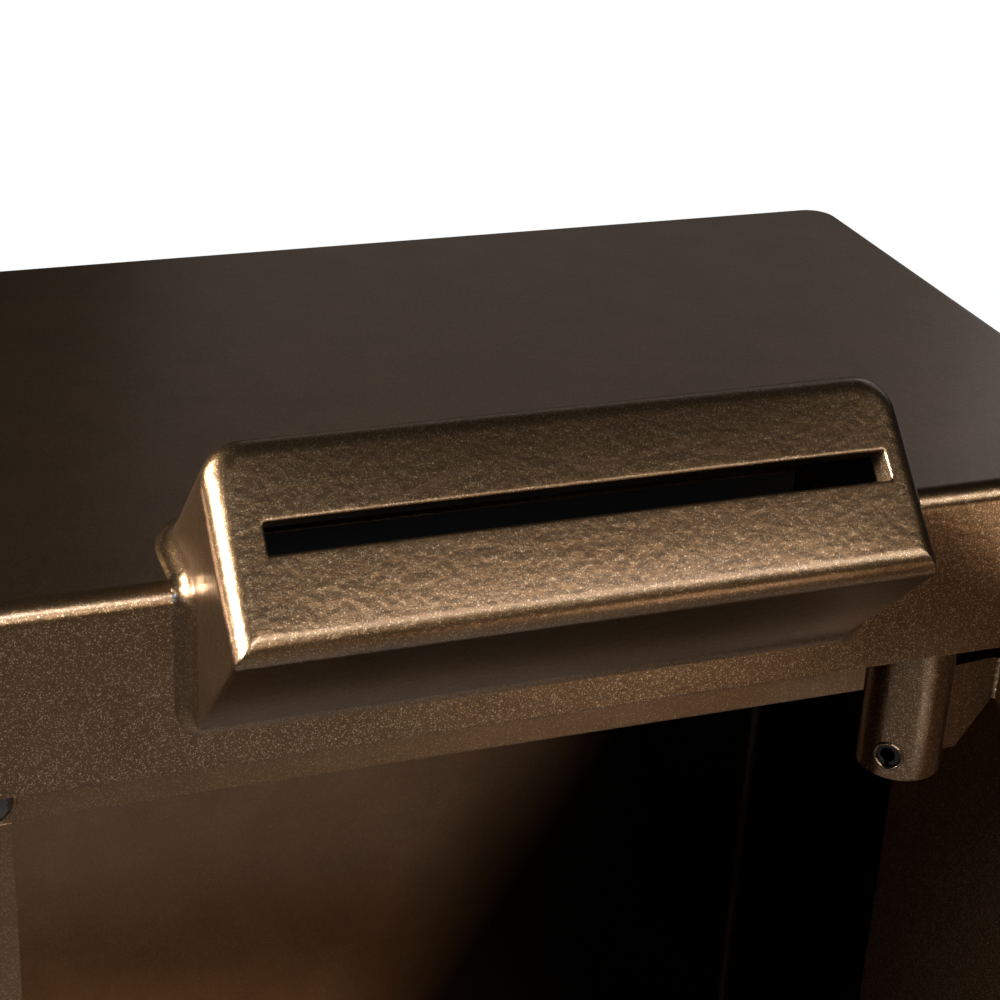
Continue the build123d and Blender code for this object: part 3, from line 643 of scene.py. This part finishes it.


# Painted shade: near black for the hood's hollow and the baffle, standing for the dark inside of the slot.
painted_shade_black = Finish("painted_shade_black")
painted_shade_black.set(Base_Color=(0.008, 0.009, 0.011, 1), Roughness=0.42 + 0.2 * painted_shade_black.noise(3 * mm))
painted_shade_black.bump(0.3 * mm, (painted_shade_black.noise(0.6 * mm), 0.02 * mm))
hood_mesh = skin("hood_shell", hood_rings(), True)
hood_bronze = bronze_paint("hood_bronze", 0.12 * mm, 0.55)
fit("hood_shell", hood_mesh, hood_bronze, "body", "bronze_paint", "deposit_hood", crease=60)
hood_mesh.materials.append(painted_shade_black.material)
hood_mesh.materials.append(bronze_paint("mouth_bronze", 0.02 * mm, 1.0, 0.55))
hollow_start = (len(hood_rings()) - 4) * len(outline)
# Hollow faces past the lip take the near-black painted shade; the slot's end walls take the mouth paint.
for face in hood_mesh.polygons:
    past_lip = face.index - hollow_start
    at_end = slot_loop[face.index % len(outline)][2]
    if past_lip >= len(outline) or past_lip >= 0 and not at_end:
        face.material_index = 1
    elif past_lip >= -len(outline) and at_end:
        face.material_index = 2

# Fishing baffle: a thin bent and toothed sheet, welded under the roof behind the throat. It has
# the same near-black colour as the hood's hollow: painted shade for the dark inside of the slot.
cover(painted_shade_black.material, "fishing_baffle")

# Hinges: a round bar welded inside the roof and one inside the floor carry the turned pins. A
# bored knuckle with a gusset is welded to the door at each, and a rolled cross pin locks it.
joints = {joint["name"]: joint for joint in frame["record"]["behaviour"]["joints"]}
turn = -math.radians(joints["door_swing"]["range_deg"][0])
door_right = Vector((math.cos(turn), math.sin(turn), 0))
door_inward = Vector((-math.sin(turn), math.cos(turn), 0))
knuckle_radius = 10.0 * mm
arm_weld = 1.1 * mm
arm_weld_steps = 26
pin_rim_gap = 0.3 * mm
pin_rim_thick = 0.42 * mm
end_depth = 0.1 * mm
brush_stretch = (1, 1, 14)
stain_size = 9 * mm
stain_dark = 0.8


def metal(name, colour, rough, brushed, grain_size):
    """Bare or plated metal with fine brushing."""
    finish = Finish(name)
    sockets = {0: finish.place, 1: brush_stretch}
    stretched = finish.node("VectorMath", {"operation": "MULTIPLY"}, sockets, "Vector")
    brush = finish.noise(grain_size, 3.0, 0.6, stretched)
    stain = finish.noise(stain_size, 3.0, 0.6)
    dark = tuple(stain_dark * part for part in colour) + (1,)
    finish.set(
        Base_Color=finish.mix(dark, (*colour, 1), stain.clamped(0.3, 0.6)),
        Metallic=1.0,
        Roughness=rough - 0.05 + 0.12 * brush,
    )
    finish.bump(0.25 * mm, (brush, brushed))
    return finish.material


steel = metal("steel", (0.56, 0.55, 0.53), 0.26, 0.006 * mm, 0.5 * mm)
spring_steel = metal("spring_steel", (0.05, 0.048, 0.045), 0.30, 0.004 * mm, 0.4 * mm)
cover(bronze, "hinge_posts", "door_arms")
cover(steel, "thrust_washer", "hinge_pins")
cover(spring_steel, "roll_pins")
up_way = Vector((0, 0, 1))
posts = solids("hinge_posts")
hinge_axis = middle(posts[0])
post_ends = (span(posts[0], up_way)[1], span(posts[-1], up_way)[0])
post_welds = []
for end in post_ends:
    centre = Vector((hinge_axis.x, hinge_axis.y, end))
    path = hoop(centre, up_way, knuckle_radius)
    post_welds.append(ridge(path, [(point - centre).normalized() for point in path], arm_weld, ripple=0.12))
fit("post_welds", joined("post_welds", post_welds), bronze, "body", "bronze_paint", crease=80)


def paint_rim(corners):
    """The coat's raised rim round a cross pin's front end, on the knuckle's curve."""
    centre = middle(corners)
    low, high = span(corners, up_way)
    left, right = span(corners, Vector((1, 0, 0)))
    front, back = span(corners, Vector((0, 1, 0)))
    radius = (high - low) / 2 + pin_rim_gap
    outward = Vector((left - right, front - back, 0)).normalized()
    across = up_way.cross(outward)
    points = []
    ways = []
    for step in range(turned_steps):
        angle = 2 * math.pi * step / turned_steps
        side = radius * math.cos(angle)
        depth = math.sqrt(knuckle_radius ** 2 - side ** 2)
        way = (outward * depth + across * side).normalized()
        level = centre.z + radius * math.sin(angle)
        points.append(Vector((hinge_axis.x, hinge_axis.y, level)) + way * knuckle_radius)
        ways.append(way)
    return ridge(points, ways, pin_rim_thick, ripple=0.15)


pin_rims = joined("knuckle_paint_rims", [paint_rim(corners) for corners in solids("roll_pins")])
fit("knuckle_paint_rims", pin_rims, edge_bronze, "door", "bronze_paint", crease=80)
arm_welds = []
for corners in solids("door_arms"):
    foot = span(corners, door_inward)[0]
    at_foot = [corner for corner in corners if corner.dot(door_inward) < foot + end_depth]
    low, high = span(at_foot, up_way)
    levels = [low + (high - low) * step / arm_weld_steps for step in range(arm_weld_steps + 1)]
    for side, way in zip(span(at_foot, door_right), (-1, 1)):
        path = [door_right * side + door_inward * foot + up_way * level for level in levels]
        outward = (door_inward + door_right * way).normalized()
        arm_welds.append(ridge(path, [outward] * len(path), arm_weld, False, 0.05))
fit("arm_welds", joined("arm_welds", arm_welds), bronze, "door", "bronze_paint", crease=80)

# Door: a flat steel plate with bevelled edges, sprayed like the body. A turned and nickel plated
# steel disc round the keyhole is bonded to its face.
nickel = metal("nickel", (0.66, 0.62, 0.56), 0.18, 0.003 * mm, 0.5 * mm)
cover(bronze, "door_plate")
cover(nickel, "key_escutcheon")

# Lock: a zinc plated steel case that holds three stamped brass levers, a turned stump and the
# steel tongue. Its cover is held by four pan head screws with a cross recess.
zinc = metal("zinc", (0.60, 0.61, 0.60), 0.34, 0.006 * mm, 0.7 * mm)
brass = metal("brass", (0.74, 0.53, 0.25), 0.28, 0.005 * mm, 0.5 * mm)
cover(zinc, "lock_case", "lock_cover")
cover(brass, "levers")
cover(steel, "lever_stump", "lock_tongue")
screw_head = 2.6 * mm
screw_dome = 0.45
screw_flat = 0.35
screw_shank = 0.55
screw_steps = 6
recess_reach = 2.5 * mm
recess_rim = 1.15 * recess_reach
recess_width = 0.9 * mm
recess_depth = 1.5 * mm
recess_taper = 0.6


def cross_loop(centre, axis, reach, width):
    """Outline of a cross recess, two points to each of its twelve sides."""
    across = up_way.cross(axis).normalized()
    half = width / 2
    turns = [(reach, -half), (reach, half), (half, half), (half, reach), (-half, reach), (-half, half),
             (-reach, half), (-reach, -half), (-half, -half), (-half, -reach), (half, -reach), (half, -half)]
    loop = []
    for index, corner in enumerate(turns):
        after = turns[(index + 1) % len(turns)]
        for share in (0, 0.5):
            a = corner[0] + (after[0] - corner[0]) * share
            b = corner[1] + (after[1] - corner[1]) * share
            loop.append(centre + across * a + up_way * b)
    return loop


def pan_screw(corners):
    """A pan head screw seen from inside the safe."""
    tip, top = span(corners, door_inward)
    head = [corner for corner in corners if corner.dot(door_inward) > top - end_depth]
    centre = sum(head, Vector()) / len(head)
    radius = (span(corners, up_way)[1] - span(corners, up_way)[0]) / 2
    count = len(cross_loop(centre, door_inward, recess_reach, recess_width))

    def circle(size, drop):
        across = up_way.cross(door_inward).normalized()
        start = math.atan2(-recess_width / 2, recess_reach)
        return [centre - door_inward * drop + across * size * math.cos(start + 2 * math.pi * i / count)
                + up_way * size * math.sin(start + 2 * math.pi * i / count) for i in range(count)]

    shank = screw_shank * radius
    dome = screw_dome * screw_head
    rings = [circle(shank, top - tip), circle(shank, screw_head)]
    rings += [circle(radius, screw_head), circle(radius, dome)]
    flat = screw_flat * radius
    for angle in (math.pi / 2 * step / screw_steps for step in range(1, screw_steps)):
        rings.append(circle(flat + (radius - flat) * math.cos(angle), dome * (1 - math.sin(angle))))
    rings.append(circle(recess_rim, 0))
    rings.append(cross_loop(centre, door_inward, recess_reach, recess_width))
    bottom = centre - door_inward * recess_depth
    rings.append(cross_loop(bottom, door_inward, recess_taper * recess_reach, recess_taper * recess_width))
    return skin("screw", rings)


screws = joined("lock_screw_heads", [pan_screw(corners) for corners in solids("lock_screws")])
fit("lock_screw_heads", screws, steel, "door", "steel", "lock_screws", crease=30)

# Boltwork: the lock's tongue pushes a flat steel bar, which carries two turned steel bolts. They
# slide through two folded guides that are welded to the door and sprayed with it.
cover(steel, "bolt_bar", "round_bolts")
cover(bronze, "bolt_guides")

# Key: one nickel plated casting with a round bow. It stands in the keyhole and turns with the
# bolts.
cover(nickel, "lock_key")

low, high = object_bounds()
